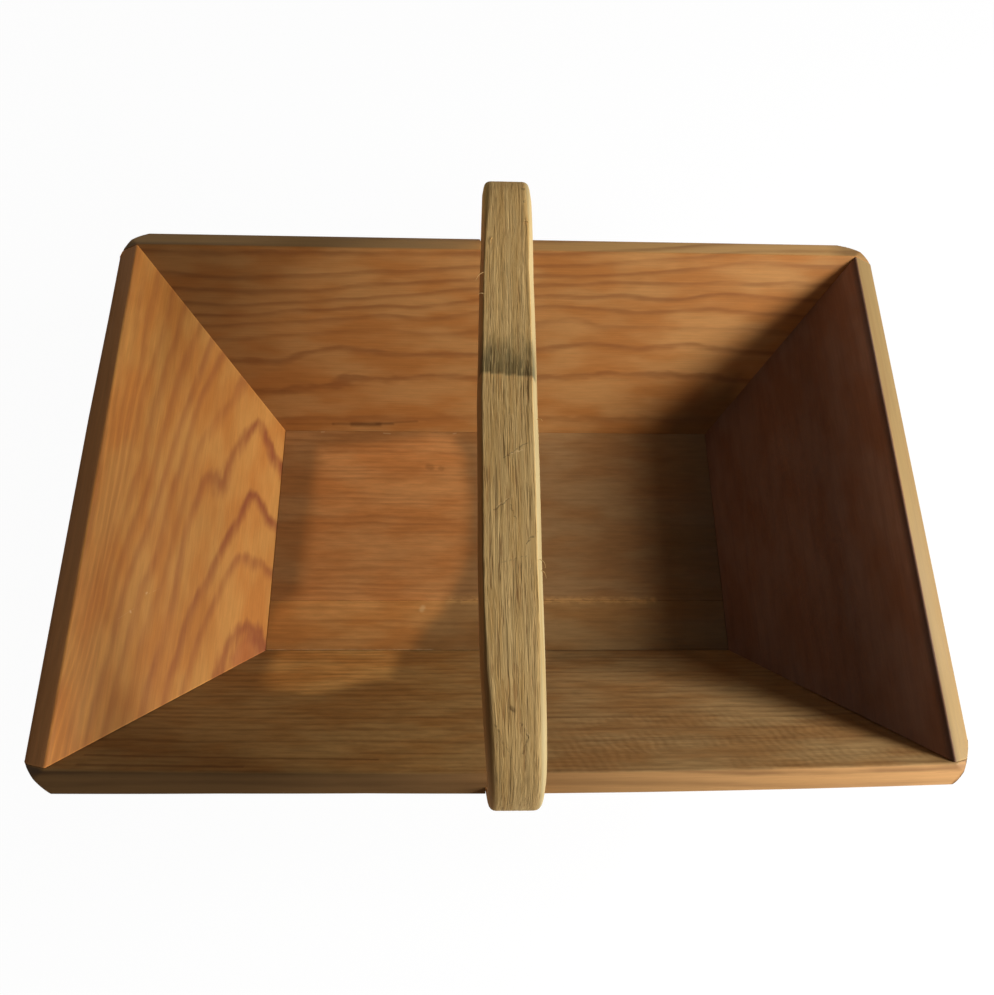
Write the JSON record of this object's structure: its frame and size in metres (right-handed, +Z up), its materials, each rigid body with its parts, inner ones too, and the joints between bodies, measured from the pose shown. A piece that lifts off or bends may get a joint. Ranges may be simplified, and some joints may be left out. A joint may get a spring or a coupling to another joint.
{
  "type": "harvest basket",
  "caption": "Open wooden harvest basket: splayed pine boards nailed round a flat floor, with a bent wooden strip carried over the middle as a fixed handle.",
  "frame": {"origin": "middle of the underside, on the surface that the basket stands on", "axes": "+X along the length, +Y towards the side with the wide floor board, +Z up"},
  "size_m": [0.5042, 0.3736, 0.2214],
  "materials": {
    "long_pine": "oiled satin pine, grain along the length",
    "end_pine": "oiled satin pine, grain along the width",
    "floor_pine": "oiled satin pine, grain along the length",
    "strip_wood": "bare rough-sawn strip",
    "steel": "dull steel, lightly tarnished"
  },
  "bodies": {
    "root": {"back_board": "long_pine", "front_board": "long_pine", "right_end_board": "end_pine", "left_end_board": "end_pine", "floor_board_rear": "floor_pine", "floor_board_front": "floor_pine", "handle_bow": "strip_wood", "corner_nail_back_right_1": "steel", "corner_nail_back_right_2": "steel", "corner_nail_back_right_3": "steel", "corner_nail_back_left_1": "steel", "corner_nail_back_left_2": "steel", "corner_nail_back_left_3": "steel", "corner_nail_front_right_1": "steel", "corner_nail_front_right_2": "steel", "corner_nail_front_right_3": "steel", "corner_nail_front_left_1": "steel", "corner_nail_front_left_2": "steel", "corner_nail_front_left_3": "steel", "floor_nail_back_1": "steel", "floor_nail_back_2": "steel", "floor_nail_back_3": "steel", "floor_nail_back_4": "steel", "floor_nail_front_1": "steel", "floor_nail_front_2": "steel", "floor_nail_front_3": "steel", "floor_nail_front_4": "steel", "floor_nail_right_1": "steel", "floor_nail_right_2": "steel", "floor_nail_right_3": "steel", "floor_nail_left_1": "steel", "floor_nail_left_2": "steel", "floor_nail_left_3": "steel", "handle_screw_back_1": "steel", "handle_screw_back_2": "steel", "handle_screw_back_3": "steel", "handle_screw_front_1": "steel", "handle_screw_front_2": "steel", "handle_screw_front_3": "steel"}
  },
  "joints": []
}
